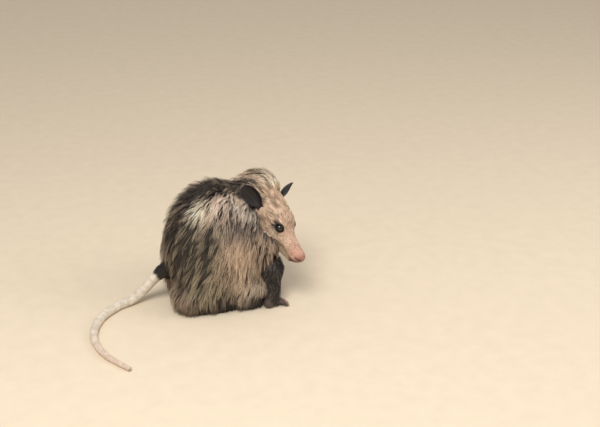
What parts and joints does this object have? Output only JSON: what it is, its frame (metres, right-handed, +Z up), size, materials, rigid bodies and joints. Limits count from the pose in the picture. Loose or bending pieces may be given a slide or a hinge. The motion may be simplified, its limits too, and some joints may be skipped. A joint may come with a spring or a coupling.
{
  "type": "opossum",
  "caption": "Crouching Virginia opossum, life size, coarse grey coat in overlapping locks, pale pointed face turned to its right, bare black ears and a bare tail laid on the floor.",
  "frame": {"origin": "on the floor, on the flat under the belly", "axes": "+X the way the body faces, +Y the animal's left, +Z up"},
  "size_m": [0.3471, 0.2407, 0.1907],
  "materials": {
    "coat": "coarse grey-brown hair with long pale guard hairs",
    "nose": "moist bare pink skin",
    "eye": "wet and black",
    "ear": "thin bare black skin with a soft sheen",
    "paw": "bare dark skin, pink towards the toes, with horn claws",
    "tail": "bare pale skin in rings of fine scales"
  },
  "bodies": {
    "root": {"torso": "coat", "neck": "coat", "hind_leg_right": "coat", "hind_leg_left": "coat", "head": "coat", "tail_root": "coat", "foreleg_right": "coat", "foreleg_left": "coat", "nose": "nose", "eye_right": "eye", "eye_left": "eye", "ear_right": "ear", "ear_left": "ear", "forepaw_right": "paw", "forepaw_left": "paw", "hind_foot_right": "paw", "hind_foot_left": "paw", "tail_1": "tail", "tail_2": "tail", "tail_3": "tail", "tail_4": "tail"}
  },
  "joints": []
}
